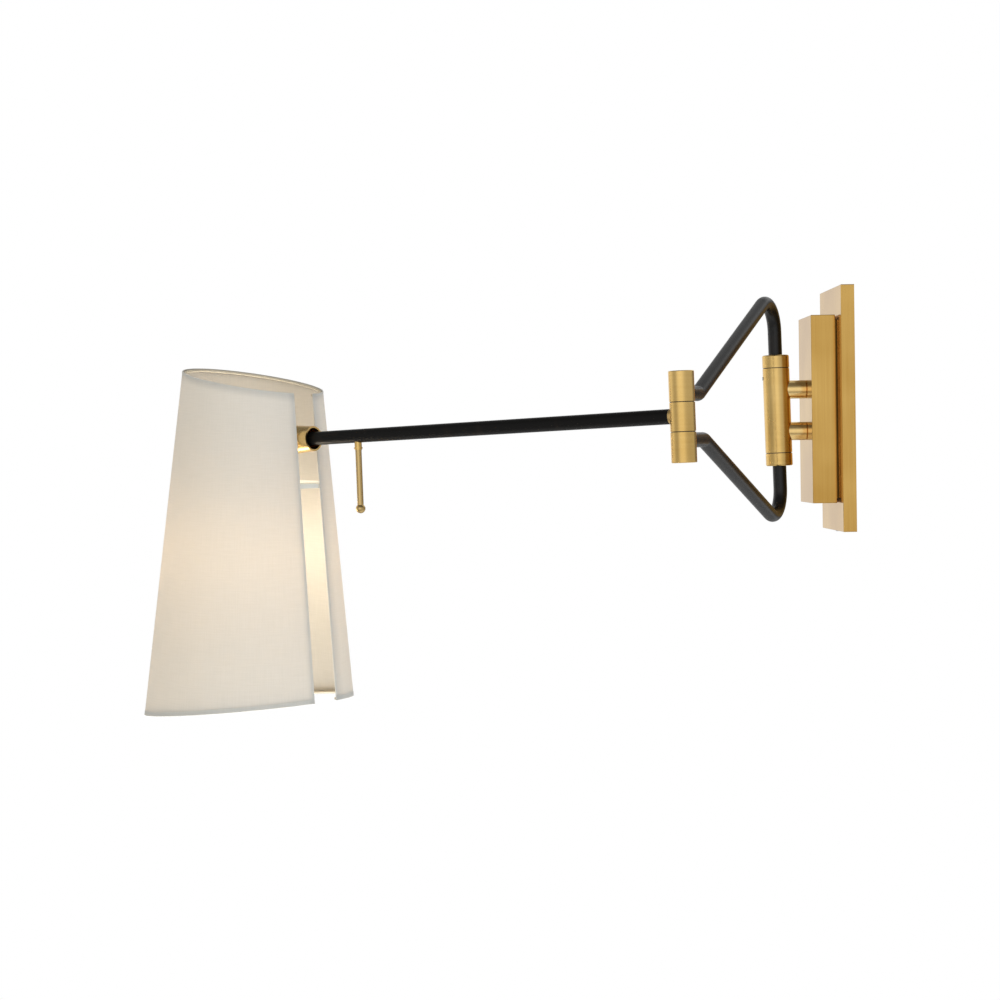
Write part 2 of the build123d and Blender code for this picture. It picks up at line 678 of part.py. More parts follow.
# Neck, a hollow curve and a globe, each meeting the next without a corner
def bulb_glass():
    r = BULB_D / 2
    neck = BULB_NECK_D / 2
    z = BULB_NECK_Z
    middle = z - BULB_L + r
    across = neck + BULB_BLEND_R
    rise = sqrt((r + BULB_BLEND_R) ** 2 - across ** 2)
    turn = degrees(atan2(rise, across))
    steps = [(0, z), (neck, z), (neck, middle + rise),
             (on_arc(across, middle + rise, BULB_BLEND_R, 180 + turn / 2), on_arc(0, middle, r, turn)),
             (on_arc(0, middle, r, (turn - 90) / 2), (0, z - BULB_L))]
    return HEAD_AT * turned(steps)


PARTS = {
    "back_plate": back_plate(),
    "canopy_box": canopy_box(),
    "wall_bracket": wall_bracket(),
    "edge_screw_top": edge_screw(1),
    "edge_screw_bottom": edge_screw(-1),
    "ground_screw": ground_screw(),
    "standoff_upper": standoff(1),
    "standoff_lower": standoff(-1),
    "nipple_upper": nipple(1),
    "nipple_lower": nipple(-1),
    "nipple_nut_upper": nipple_nut(1),
    "nipple_nut_lower": nipple_nut(-1),
    "pivot_sleeve": pivot_sleeve(),
    "pivot_bush_top": pivot_bush(1),
    "pivot_bush_bottom": pivot_bush(-1),
    "pivot_grub_screw": grub_screw(),
    "pivot_seam_top": pivot_seam(1),
    "pivot_seam_bottom": pivot_seam(-1),
    "pivot_cap_top": pivot_cap(1),
    "pivot_cap_bottom": pivot_cap(-1),
    "pivot_spindle": pivot_spindle(),
    "frame_tube_upper": frame_tube(1),
    "frame_tube_lower": frame_tube(-1),
    "knuckle_upper": end_knuckle(1),
    "knuckle_lower": end_knuckle(-1),
    "knuckle_seam_upper": knuckle_seam(1),
    "knuckle_seam_lower": knuckle_seam(-1),
    "knuckle_plug_upper": knuckle_plug(1),
    "knuckle_plug_lower": knuckle_plug(-1),
    "knuckle_pin": knuckle_pin(),
    "knuckle_nut": knuckle_nut(),
    "knuckle_middle": mid_knuckle(),
    "knuckle_bush": knuckle_bush(),
    "arm_root_boss": root_boss(),
    "arm_tube": arm_tube(),
    "switch_ferrule": switch_ferrule(),
    "switch_body": switch_body(),
    "pull_rod": pull_rod(),
    "tilt_eye": tilt_eye(),
    "arm_bell": arm_bell(),
    "tilt_fork": tilt_fork(),
    "tilt_screw": tilt_screw(),
    "tilt_nut": tilt_nut(),
    "socket_stem": socket_stem(),
    "socket_cup": socket_cup(),
    "socket_body": socket_body(),
    "fitter_nut_upper": fitter_nut(1),
    "fitter_nut_lower": fitter_nut(-1),
    "shade_spider": shade_spider(),
    "shade_ring": shade_ring(),
    "shade": shade(),
    "rim_wire_top": rim_wire(SHADE_UP, TOP_TILT, SLIT_TOP_W, -1),
    "rim_wire_bottom": rim_wire(-SHADE_DOWN, -BOTTOM_TILT, SLIT_BOTTOM_W, 1),
    "bulb_cap": bulb_cap(),
    "bulb_glass": bulb_glass(),
}

for name, shape in PARTS.items():
    export_step(shape, f"parts/{name}.step")
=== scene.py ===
import json
import math

import bpy
from mathutils import Euler, Matrix, Vector


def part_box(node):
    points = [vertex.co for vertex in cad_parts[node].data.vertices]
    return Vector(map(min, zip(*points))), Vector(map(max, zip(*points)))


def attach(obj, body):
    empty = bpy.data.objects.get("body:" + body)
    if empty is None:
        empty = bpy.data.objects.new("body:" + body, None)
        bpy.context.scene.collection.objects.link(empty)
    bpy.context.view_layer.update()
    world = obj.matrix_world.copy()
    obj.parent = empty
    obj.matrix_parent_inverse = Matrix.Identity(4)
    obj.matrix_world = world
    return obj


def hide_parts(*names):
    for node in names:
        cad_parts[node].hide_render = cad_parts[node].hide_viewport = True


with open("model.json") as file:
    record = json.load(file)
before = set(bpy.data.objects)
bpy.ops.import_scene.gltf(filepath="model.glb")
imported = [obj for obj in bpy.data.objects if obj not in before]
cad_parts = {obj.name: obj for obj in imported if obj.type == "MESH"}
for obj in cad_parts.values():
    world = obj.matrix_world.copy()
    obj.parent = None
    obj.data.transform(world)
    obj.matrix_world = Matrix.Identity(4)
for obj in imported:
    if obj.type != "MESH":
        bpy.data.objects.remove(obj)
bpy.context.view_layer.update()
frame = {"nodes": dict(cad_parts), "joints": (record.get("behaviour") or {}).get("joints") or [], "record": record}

# Places that the joints give, in metres
JOINT_AT = {joint["name"]: Vector(joint["pos_m"]) for joint in frame["joints"] if "pos_m" in joint}
HUB = JOINT_AT["shade_tilt"]
ELBOW = JOINT_AT["elbow_swing"]
ARM_LINE = (HUB - ELBOW).normalized()
ARM_HEADING = math.atan2(ARM_LINE.y, ARM_LINE.x)
MM = 0.001

# Shade: a leaning cone cut by two sloping planes, with a slit on the arm's side
HEAD_LEAN = math.radians(-1.86)
SHADE_TOP_R = 74.6 * MM
SHADE_BOTTOM_R = 111.4 * MM
SHADE_UP = 65.6 * MM
SHADE_DOWN = 281.8 * MM
SHADE_WALL = 1.2 * MM
TOP_SLOPE = math.tan(math.radians(10.35))
BOTTOM_SLOPE = math.tan(math.radians(6.85))
SLIT_TOP_W = 29.2 * MM
SLIT_BOTTOM_W = 34.3 * MM
HEM_TOP_H = 1.8 * MM
HEM_BOTTOM_H = 4.6 * MM
HEM_SLIT_W = 2.6 * MM
HEM_PLY = 0.25 * MM
HEM_TUCK = 0.1 * MM
HEM_LIP = 0.4 * MM
CLOTH_EDGE = 0.2 * MM
HEM_EDGE = 0.5 * MM
ROUND_COLUMNS = 145
FALL_ROWS = 41
TAPE_STEPS = 4
SHADE_FRAME = Matrix.Translation(HUB) @ Euler((0, HEAD_LEAN, ARM_HEADING)).to_matrix().to_4x4()

# Painted shade where the cloth is turned in and so doubled and lets less lamp light through: planes by a point and
# the way in from it, depth, and tone left there.
# The slit's far edge is turned in twice as deep; the last plane keeps its painted shade off the shade's other side.
SLIT_RATE = (SLIT_BOTTOM_W - SLIT_TOP_W) / (SHADE_UP + SHADE_DOWN) / 2
LOW_FOLD = ((Vector((0, 0, -SHADE_DOWN)), Vector((BOTTOM_SLOPE, 0, 1))),)
TOP_FOLD = ((Vector((0, 0, SHADE_UP)), Vector((TOP_SLOPE, 0, -1))),)
SLIT_FOLD = ((Vector((0, SLIT_TOP_W / 2, SHADE_UP)), Vector((0, 1, SLIT_RATE))),
             (Vector((0, -SLIT_TOP_W / 2, SHADE_UP)), Vector((0, -1, SLIT_RATE)) / 2),
             (Vector((0, 0, 0)), Vector((1, 0, 0))))
FOLD_SHADES = ((LOW_FOLD, 8 * MM, 0.86), (TOP_FOLD, 10 * MM, 0.86), (SLIT_FOLD, 9 * MM, 0.91))

# Grip ribs round the fitter nuts and the tilt screw, in the shade's own frame
FITTER_NUT_R = 22.5 * MM
FITTER_NUT_Z = {"fitter_ribs_upper": -41.7 * MM, "fitter_ribs_lower": -47.3 * MM}
FITTER_RIB_L = 3.4 * MM
FITTER_RIB_R = 0.7 * MM
FITTER_RIB_COUNT = 40
TILT_HEAD_R = 7 * MM
TILT_HEAD_Y = {"tilt_screw_ribs": -13 * MM, "tilt_nut_ribs": 12.4 * MM}
TILT_RIB_L = 3.6 * MM
TILT_RIB_R = 0.4 * MM
TILT_RIB_COUNT = 30
RIB_SIDES = 8

# Bulb and its light
BULB_R = 30 * MM
BULB_LIGHT_R = 1.06 * BULB_R
BULB_GLOW_GLOBE = 2.0
BULB_GLOW_NECK = 1.0
LAMP_WATTS = 0.23
LAMP_COLOUR = "FFF6EA"

# Camera: 72 mm lens on a 36 mm frame, level with the arm
CAMERA_AT = Vector((2056.3, -391.9, -40.1)) * MM
CAMERA_YAW = 0.0172
CAMERA_PITCH = -0.0230
CAMERA_ROLL = -0.0163
LENS_MM = 72
SENSOR_MM = 36

# Soft lights: place, aim, size, watts, colour
KEY = ((2.2, -1.8, 1.6), (0, -0.35, -0.1), 1.6, 22, "FFFFFF")
FILL = ((1.6, 1.4, 0.6), (0, -0.35, -0.1), 1.4, 22, "E8F0FF")
LIFT = ((-0.05, -0.6, -1.25), (-0.09, -0.62, -0.1), 0.7, 34, "F4F8FF")

# Floor
FLOOR_Z = -1.3
FLOOR_R = 2.2
FLOOR_CORNERS = 64
FLOOR_FADE_R = 0.3 * FLOOR_R

# Room: how bright its walls are as light and in reflections, and what is left of these overhead and underfoot
ROOM_DIFFUSE = 0.62
ROOM_GLOSS = 0.74
ROOM_CEILING = 0.25
ROOM_STEEP = (0.2, 0.75)
# Parts of the walls that reflect brighter or darker: direction, cosines where each starts and is full, and gain
ROOM_PATCHES = (((0.95, -0.31, 0.05), 0.75, 1.0, 0.36), ((-0.65, -0.76, 0), 0.6, 0.9, 0.32),
                ((0.2, -0.98, 0), 0.75, 0.98, -0.2), ((0.25, 0.97, 0), 0.45, 0.95, -0.14),
                ((-0.5, 0.4, 0.77), 0.74, 0.97, 1.6), ((-0.45, 0.55, -0.7), 0.82, 0.98, 1.2),
                ((-0.72, 0.66, 0), 0.8, 0.96, -0.5))


def linear(code):
    """Turns an sRGB hex colour into linear values."""
    parts = [int(code[i:i + 2], 16) / 255 for i in (0, 2, 4)]
    return [c / 12.92 if c <= 0.04045 else ((c + 0.055) / 1.055) ** 2.4 for c in parts] + [1.0]


def put(tree, kind, feeds=(), **settings):
    """Adds a node with its settings, and feeds its inputs, by place or by name, with sockets or values."""
    made = tree.nodes.new(kind)
    for name, value in settings.items():
        setattr(made, name, value)
    pairs = feeds.items() if isinstance(feeds, dict) else enumerate(feeds)
    for key, value in pairs:
        if isinstance(value, bpy.types.Node):
            value = value.outputs[0]
        if isinstance(value, bpy.types.NodeSocket):
            tree.links.new(value, made.inputs[key])
        elif value is not None:
            made.inputs[key].default_value = value
    return made


def blank_material(name):
    """A new material with an empty node tree."""
    material = bpy.data.materials.new(name)
    material.use_nodes = True
    material.node_tree.nodes.clear()
    return material, material.node_tree


# Materials

# Range that most of a noise's values lie in
NOISE_LOW = 0.3
NOISE_HIGH = 0.7

# Pattern sizes: patches of age on brass, grain and rubbed patches on lacquer, thick places along a thread,
# and how far in from an edge the painted shade on the doubled cloth stays at its darkest
AGE_SPAN = 90 * MM
LACQUER_GRAIN = 1.2 * MM
LACQUER_RUB = 24 * MM
THREAD_RUN = 28 * MM
FOLD_EDGE = 1.5 * MM

# Hair lines on brass: size across and along the part's axis
UPRIGHT = (0, 0, 1)
SHEET_HAIR = (1.6 * MM, 80 * MM)
TURNED_HAIR = (40 * MM, 1.8 * MM)
ROD_HAIR = (1.2 * MM, 30 * MM)

# Tones of painted shade in the seam behind the box, of lacquer on the tubes and where these are rubbed, and of light
# through cloth
BOX_BACK_Y = -14.5 * MM
SEAM_SHADE_TONE = "4A3818"
LACQUER_TONE = "0E0D0C"
RUBBED_TONE = "2A2118"
GLOW_TONE = "FFF0E1"


def satin_brass(name, axis, hair_size, pale, dark, gloss, seam_shade_y=0.0):
    """Lacquered brass, rubbed to a satin: faint hair lines along or round an axis, tone and gloss uneven with age,
    and painted shade in the seam behind a given depth.

    The real hair lines are finer than 0.3 mm; here they are drawn as coarse as they need to show.
    """
    across, along = hair_size
    material, tree = blank_material(name)
    where = put(tree, "ShaderNodeTexCoord").outputs["Object"]
    reach = put(tree, "ShaderNodeVectorMath", [where, axis], operation="DOT_PRODUCT").outputs["Value"]
    reach = put(tree, "ShaderNodeMath", [reach, 1 / along - 1 / across], operation="MULTIPLY")
    line = put(tree, "ShaderNodeVectorMath", {0: axis, "Scale": reach}, operation="SCALE")
    hair_at = put(tree, "ShaderNodeVectorMath", [where, [1 / across] * 3, line], operation="MULTIPLY_ADD")
    hair = put(tree, "ShaderNodeTexNoise", {"Vector": hair_at, "Scale": 1.0, "Detail": 0.0}).outputs["Fac"]
    age = put(tree, "ShaderNodeTexNoise", {"Vector": where, "Scale": 1 / AGE_SPAN, "Detail": 2.0}).outputs["Fac"]
    tone = put(tree, "ShaderNodeMix", [0.12, None, age, hair])
    tone = put(tree, "ShaderNodeMapRange", {"Value": tone, "From Min": NOISE_LOW, "From Max": NOISE_HIGH})
    colour = put(tree, "ShaderNodeMix", {0: tone, 6: linear(dark), 7: linear(pale)}, data_type="RGBA")
    sheen = put(tree, "ShaderNodeMapRange", {"Value": age, "From Min": NOISE_LOW, "From Max": NOISE_HIGH,
                "To Min": gloss - 0.02, "To Max": gloss + 0.02})
    # Painted shade: a dark line behind this depth, in the seam against the plate
    seam_shade = put(tree, "ShaderNodeMath", [put(tree, "ShaderNodeSeparateXYZ", [where]).outputs["Y"], seam_shade_y],
               operation="GREATER_THAN")
    colour = put(tree, "ShaderNodeMix", {0: seam_shade, 6: colour.outputs[2], 7: linear(SEAM_SHADE_TONE)}, data_type="RGBA")
    shader = put(tree, "ShaderNodeBsdfPrincipled", {"Base Color": colour.outputs[2], "Metallic": 1.0,
                 "Roughness": sheen})
    put(tree, "ShaderNodeOutputMaterial", [shader])
    return material


def black_lacquer(name, shine):
    """Steel tube in satin black lacquer: a soft line of gloss, a trace of bronze where it is rubbed."""
    material, tree = blank_material(name)
    where = put(tree, "ShaderNodeTexCoord").outputs["Object"]
    grain = put(tree, "ShaderNodeTexNoise", {"Vector": where, "Scale": 1 / LACQUER_GRAIN, "Detail": 2.0})
    rub = put(tree, "ShaderNodeTexNoise", {"Vector": where, "Scale": 1 / LACQUER_RUB, "Detail": 4.0})
    worn = put(tree, "ShaderNodeMapRange", {"Value": rub.outputs["Fac"], "From Min": 0.55, "From Max": 0.8,
               "To Min": 0.0, "To Max": 0.5})
    colour = put(tree, "ShaderNodeMix", {0: worn, 6: linear(LACQUER_TONE), 7: linear(RUBBED_TONE)}, data_type="RGBA")
    gloss = put(tree, "ShaderNodeMapRange", {"Value": grain.outputs["Fac"], "To Min": 0.26, "To Max": 0.40})
    relief = put(tree, "ShaderNodeBump", {"Height": grain.outputs["Fac"], "Strength": 0.06,
                 "Distance": 0.05 * MM})
    shader = put(tree, "ShaderNodeBsdfPrincipled", {"Base Color": colour.outputs[2], "Roughness": gloss,
                 "Specular IOR Level": shine, "Normal": relief})
    put(tree, "ShaderNodeOutputMaterial", [shader])
    return material


def plain_finish(name, pale, dark, roughness, metallic=0.0, grain=1.5 * MM):
    """A moulded, plated or enamelled small part: faint mottling in tone and gloss."""
    material, tree = blank_material(name)
    where = put(tree, "ShaderNodeTexCoord").outputs["Object"]
    mottle = put(tree, "ShaderNodeTexNoise", {"Vector": where, "Scale": 1 / grain, "Detail": 3.0})
    colour = put(tree, "ShaderNodeMix", {0: mottle.outputs["Fac"], 6: linear(dark), 7: linear(pale)},
                 data_type="RGBA")
    gloss = put(tree, "ShaderNodeMapRange", {"Value": mottle.outputs["Fac"], "To Min": roughness - 0.08,
                "To Max": roughness + 0.08})
    shader = put(tree, "ShaderNodeBsdfPrincipled", {"Base Color": colour.outputs[2], "Roughness": gloss,
                 "Metallic": metallic})
    put(tree, "ShaderNodeOutputMaterial", [shader])
    return material


def linen(name, pale, dark, passes, thread):
    """Plain linen on a stiff liner: crossing uneven threads, dull, lets lamp light through, with painted shade at
    the folded rims and slit edges for the doubled cloth.

    The real threads are about 0.3 mm wide; here they are drawn as coarse as they need to show.
    """
    material, tree = blank_material(name)
    where = put(tree, "ShaderNodeUVMap", uv_map="UVMap")
    warp_at = put(tree, "ShaderNodeMapping", {"Vector": where, "Scale": (1 / thread, 1 / THREAD_RUN, 1)})
    weft_at = put(tree, "ShaderNodeMapping", {"Vector": where, "Scale": (1 / THREAD_RUN, 1 / thread, 1)})
    warp = put(tree, "ShaderNodeTexNoise", {"Vector": warp_at, "Scale": 1.0, "Detail": 2.0},
               noise_dimensions="2D")
    weft = put(tree, "ShaderNodeTexNoise", {"Vector": weft_at, "Scale": 1.0, "Detail": 2.0},
               noise_dimensions="2D")
    weave = put(tree, "ShaderNodeMath", [warp.outputs["Fac"], weft.outputs["Fac"]], operation="ADD")
    weave = put(tree, "ShaderNodeMath", [weave, 0.5], operation="MULTIPLY")
    tone = put(tree, "ShaderNodeMapRange", {"Value": weave, "From Min": NOISE_LOW, "From Max": NOISE_HIGH})
    colour = put(tree, "ShaderNodeMix", {0: tone, 6: linear(dark), 7: linear(pale)}, data_type="RGBA")
    place = put(tree, "ShaderNodeTexCoord").outputs["Object"]
    for planes, depth, left in FOLD_SHADES:
        # Furthest in from any of the planes
        inward = -1.0
        for point, way_in in planes:
            reach = put(tree, "ShaderNodeVectorMath", [place, SHADE_FRAME @ point], operation="SUBTRACT")
            reach = put(tree, "ShaderNodeVectorMath", [reach, SHADE_FRAME.to_3x3() @ way_in],
                        operation="DOT_PRODUCT")
            inward = put(tree, "ShaderNodeMath", [reach.outputs["Value"], inward], operation="MAXIMUM")
        # Painted shade near each fold, where the doubled cloth lets less lamp light through
        fold_shade = put(tree, "ShaderNodeMapRange", {"Value": inward, "From Min": FOLD_EDGE, "From Max": depth,
                   "To Min": left, "To Max": 1.0}, interpolation_type="SMOOTHSTEP")
        colour = put(tree, "ShaderNodeMix", {0: 1.0, 6: colour.outputs[2], 7: fold_shade}, data_type="RGBA",
                     blend_type="MULTIPLY")
    relief = put(tree, "ShaderNodeBump", {"Height": weave, "Strength": 0.03, "Distance": 0.2 * MM})
    cloth = put(tree, "ShaderNodeBsdfPrincipled", {"Base Color": colour.outputs[2], "Roughness": 0.92,
                "Specular IOR Level": 0.2, "Sheen Weight": 0.15, "Sheen Roughness": 0.6, "Normal": relief})
    tint = put(tree, "ShaderNodeMix", {0: 1.0, 6: colour.outputs[2], 7: linear(GLOW_TONE)}, data_type="RGBA",
               blend_type="MULTIPLY")
    glow = put(tree, "ShaderNodeBsdfTranslucent", {"Color": tint.outputs[2], "Normal": relief})
    shader = put(tree, "ShaderNodeMixShader", [passes, cloth, glow])
    put(tree, "ShaderNodeOutputMaterial", [shader])
    return material


def lit_glass(name):
    """Frosted bulb glass with the lamp lit: brightest over the globe, weaker toward the neck."""
    material, tree = blank_material(name)
    where = put(tree, "ShaderNodeTexCoord").outputs["Object"]
    low, high = (corner.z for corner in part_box("bulb_glass"))
    height = put(tree, "ShaderNodeSeparateXYZ", [where]).outputs["Z"]
    power = put(tree, "ShaderNodeMapRange", {"Value": height, "From Min": low + BULB_R, "From Max": high,
                "To Min": BULB_GLOW_GLOBE, "To Max": BULB_GLOW_NECK})
    shader = put(tree, "ShaderNodeBsdfPrincipled", {"Base Color": linear("FFF6E4"), "Roughness": 0.45,
                 "Emission Color": linear(LAMP_COLOUR), "Emission Strength": power})
    put(tree, "ShaderNodeOutputMaterial", [shader])
    return material


BRASS_SHEET = satin_brass("satin brass sheet", UPRIGHT, SHEET_HAIR, "D9B267", "B88D44", 0.17)
BRASS_BOX = satin_brass("satin brass sheet, box", UPRIGHT, SHEET_HAIR, "D9B267", "B88D44", 0.17, BOX_BACK_Y)
BRASS_TURNED = satin_brass("satin brass, turned", UPRIGHT, TURNED_HAIR, "E9C680", "D3AC62", 0.27)
# The standoffs get a paler copy of the turned brass: painted highlight
BRASS_LEVEL_LIT = satin_brass("satin brass, turned level, painted highlight", (0, 1, 0), TURNED_HAIR, "F6D490", "E2BA74", 0.14)
# The bell and the root boss get a paler copy of the turned brass: painted highlight
BRASS_BELL_LIT = satin_brass("satin brass, spun, painted highlight", tuple(ARM_LINE), TURNED_HAIR, "ECCA8A", "D8B26E", 0.24)
BRASS_ROD = satin_brass("satin brass rod", UPRIGHT, ROD_HAIR, "D8BC84", "BA9B62", 0.22)
BLACK = black_lacquer("satin black lacquer", 0.36)
BLACK_DULL = black_lacquer("dulled black lacquer", 0.12)
ZINC = plain_finish("zinc plated steel", "C4C6C8", "9A9C9E", 0.34, 1.0, 3 * MM)
PHENOLIC = plain_finish("black phenolic", "221F1D", "161412", 0.45)
ENAMEL = plain_finish("white enamel", "E4E4DA", "D6D6CA", 0.40)
WRAPPED = plain_finish("cloth wrapped wire", "C2B7A0", "B4A992", 0.85)
GREEN = plain_finish("green lacquered steel", "2F8A43", "1E6B30", 0.40)
LINEN = linen("ivory linen", "F0F1EB", "EBECE5", 0.42, 1.3 * MM)
# The liner is drawn darker than the linen: painted shade for the dimmer light inside the shade
LINER = linen("liner paper", "D3D0C6", "CCC9BE", 0.48, 1.4 * MM)
HEM = linen("linen hem tape", "EDEEE8", "E8E9E1", 0.36, 1.3 * MM)
GLASS = lit_glass("lit frosted glass")

NODE_FINISH = {
    "aged_brass": BRASS_TURNED, "black_metal": BLACK, "zinc_steel": ZINC, "black_plastic": PHENOLIC,
    "white_metal": ENAMEL, "green_screw": GREEN, "linen": LINEN, "bulb_glass": GLASS}
OWN_FINISH = {"back_plate": BRASS_SHEET, "canopy_box": BRASS_BOX, "standoff_upper": BRASS_LEVEL_LIT,
              "standoff_lower": BRASS_LEVEL_LIT, "arm_bell": BRASS_BELL_LIT, "arm_root_boss": BRASS_BELL_LIT,
              "pull_rod": BRASS_ROD, "arm_tube": BLACK_DULL, "rim_wire_top": WRAPPED, "rim_wire_bottom": WRAPPED}

for part in frame["record"]["subparts"]:
    finish = OWN_FINISH.get(part["node"], NODE_FINISH[part["material_slot"]])
    frame["nodes"][part["node"]].data.materials.clear()
    frame["nodes"][part["node"]].data.materials.append(finish)


# Geometry Nodes


def shade_panel_tree():
    """A panel of the shade's cone between two rims and two slit edges, each moved by a shift."""
    tree = bpy.data.node_groups.new("shade panel", "GeometryNodeTree")
    sockets = tree.interface
    sizes = ["Top radius", "Bottom radius", "Rise", "Fall", "Top slope", "Bottom slope", "Slit top", "Slit bottom",
             "From rim", "From drop", "To rim", "To drop", "From edge", "From shift", "To edge", "To shift",
             "Outward", "Lean", "Heading"]
    for size in sizes:
        sockets.new_socket(size, in_out="INPUT", socket_type="NodeSocketFloat")
    sockets.new_socket("Hub", in_out="INPUT", socket_type="NodeSocketVector")
    sockets.new_socket("Columns", in_out="INPUT", socket_type="NodeSocketInt")
    sockets.new_socket("Rows", in_out="INPUT", socket_type="NodeSocketInt")
    sockets.new_socket("Finish", in_out="INPUT", socket_type="NodeSocketMaterial")
    sockets.new_socket("Geometry", in_out="OUTPUT", socket_type="NodeSocketGeometry")
    given = put(tree, "NodeGroupInput").outputs

    grid = put(tree, "GeometryNodeMeshGrid", {"Size X": 1.0, "Size Y": 1.0, "Vertices X": given["Columns"],
               "Vertices Y": given["Rows"]})
    place = put(tree, "ShaderNodeSeparateXYZ", [put(tree, "GeometryNodeInputPosition")])
    across = put(tree, "ShaderNodeMath", [place.outputs["X"], 0.5], operation="ADD")
    down = put(tree, "ShaderNodeMath", [0.5, place.outputs["Y"]], operation="SUBTRACT")

    # Rate at which the cone widens per unit of fall
    widens = put(tree, "ShaderNodeMath", [given["Bottom radius"], given["Top radius"]], operation="SUBTRACT")
    height = put(tree, "ShaderNodeMath", [given["Rise"], given["Fall"]], operation="ADD")
    rate = put(tree, "ShaderNodeMath", [widens, height], operation="DIVIDE")
    top_pull = put(tree, "ShaderNodeMath", [rate, given["Top slope"]], operation="MULTIPLY")
    low_pull = put(tree, "ShaderNodeMath", [rate, given["Bottom slope"]], operation="MULTIPLY")

    # Angle from the slit's middle, between the two chosen edges
    share = put(tree, "ShaderNodeMix", [down, None, given["From rim"], given["To rim"]])
    slit = put(tree, "ShaderNodeMix", [share, None, given["Slit top"], given["Slit bottom"]])
    top_under = put(tree, "ShaderNodeMath", [1.0, top_pull], operation="SUBTRACT")
    low_under = put(tree, "ShaderNodeMath", [1.0, low_pull], operation="ADD")
    top_edge_r = put(tree, "ShaderNodeMath", [given["Top radius"], top_under], operation="DIVIDE")
    low_edge_r = put(tree, "ShaderNodeMath", [given["Bottom radius"], low_under], operation="DIVIDE")
    edge_r = put(tree, "ShaderNodeMix", [share, None, top_edge_r, low_edge_r])
    half_slit = put(tree, "ShaderNodeMath", [slit, 0.5], operation="MULTIPLY")
    slit_sine = put(tree, "ShaderNodeMath", [half_slit, edge_r], operation="DIVIDE")
    opens = put(tree, "ShaderNodeMath", [slit_sine], operation="ARCSINE")
    closes = put(tree, "ShaderNodeMath", [math.tau, opens], operation="SUBTRACT")
    from_turn = put(tree, "ShaderNodeMath", [given["From shift"], edge_r], operation="DIVIDE")
    to_turn = put(tree, "ShaderNodeMath", [given["To shift"], edge_r], operation="DIVIDE")
    from_edge = put(tree, "ShaderNodeMix", [given["From edge"], None, opens, closes])
    to_edge = put(tree, "ShaderNodeMix", [given["To edge"], None, opens, closes])
    from_angle = put(tree, "ShaderNodeMath", [from_edge, from_turn], operation="ADD")
    to_angle = put(tree, "ShaderNodeMath", [to_edge, to_turn], operation="ADD")
    angle = put(tree, "ShaderNodeMix", [across, None, from_angle, to_angle])
    cosine = put(tree, "ShaderNodeMath", [angle], operation="COSINE")
    sine = put(tree, "ShaderNodeMath", [angle], operation="SINE")

    # Heights of the two rims at that angle
    top_lean = put(tree, "ShaderNodeMath", [top_pull, cosine], operation="MULTIPLY")
    top_lean = put(tree, "ShaderNodeMath", [1.0, top_lean], operation="SUBTRACT")
    top_r = put(tree, "ShaderNodeMath", [given["Top radius"], top_lean], operation="DIVIDE")
    top_reach = put(tree, "ShaderNodeMath", [top_r, cosine], operation="MULTIPLY")
    top_dip = put(tree, "ShaderNodeMath", [top_reach, given["Top slope"]], operation="MULTIPLY")
    top_z = put(tree, "ShaderNodeMath", [given["Rise"], top_dip], operation="SUBTRACT")
    low_lean = put(tree, "ShaderNodeMath", [low_pull, cosine, 1.0], operation="MULTIPLY_ADD")
    low_r = put(tree, "ShaderNodeMath", [given["Bottom radius"], low_lean], operation="DIVIDE")
    low_reach = put(tree, "ShaderNodeMath", [low_r, cosine], operation="MULTIPLY")
    low_lift = put(tree, "ShaderNodeMath", [low_reach, given["Bottom slope"]], operation="MULTIPLY")
    low_z = put(tree, "ShaderNodeMath", [low_lift, given["Fall"]], operation="SUBTRACT")
    from_z = put(tree, "ShaderNodeMix", [given["From rim"], None, top_z, low_z])
    from_z = put(tree, "ShaderNodeMath", [from_z, given["From drop"]], operation="SUBTRACT")
    to_z = put(tree, "ShaderNodeMix", [given["To rim"], None, top_z, low_z])
    to_z = put(tree, "ShaderNodeMath", [to_z, given["To drop"]], operation="SUBTRACT")
    level = put(tree, "ShaderNodeMix", [down, None, from_z, to_z])

    # Place on the cone, then in the lamp
    below = put(tree, "ShaderNodeMath", [given["Rise"], level], operation="SUBTRACT")
    radius = put(tree, "ShaderNodeMath", [below, rate, given["Top radius"]], operation="MULTIPLY_ADD")
    radius = put(tree, "ShaderNodeMath", [radius, given["Outward"]], operation="ADD")
    back = put(tree, "ShaderNodeMath", [radius, -1.0], operation="MULTIPLY")
    x = put(tree, "ShaderNodeMath", [back, cosine], operation="MULTIPLY")
    y = put(tree, "ShaderNodeMath", [back, sine], operation="MULTIPLY")
    thread_run = put(tree, "ShaderNodeMath", [angle, low_edge_r], operation="MULTIPLY")
    threads = put(tree, "ShaderNodeCombineXYZ", [thread_run, level])
    marked = put(tree, "GeometryNodeStoreNamedAttribute", {"Geometry": grid, "Name": "UVMap", "Value": threads},
                 data_type="FLOAT2", domain="CORNER")
    shaped = put(tree, "GeometryNodeSetPosition", {"Geometry": marked,
                 "Position": put(tree, "ShaderNodeCombineXYZ", [x, y, level])})
    turn = put(tree, "ShaderNodeCombineXYZ", {"Y": given["Lean"], "Z": given["Heading"]})
    turn = put(tree, "FunctionNodeEulerToRotation", [turn])
    set_down = put(tree, "GeometryNodeTransform", {"Geometry": shaped, "Translation": given["Hub"],
                   "Rotation": turn})
    smooth = put(tree, "GeometryNodeSetShadeSmooth", [set_down])
    single = put(tree, "GeometryNodeRealizeInstances", [smooth])
    dressed = put(tree, "GeometryNodeSetMaterial", {"Geometry": single, "Material": given["Finish"]})
    put(tree, "NodeGroupOutput", [dressed])
    return tree


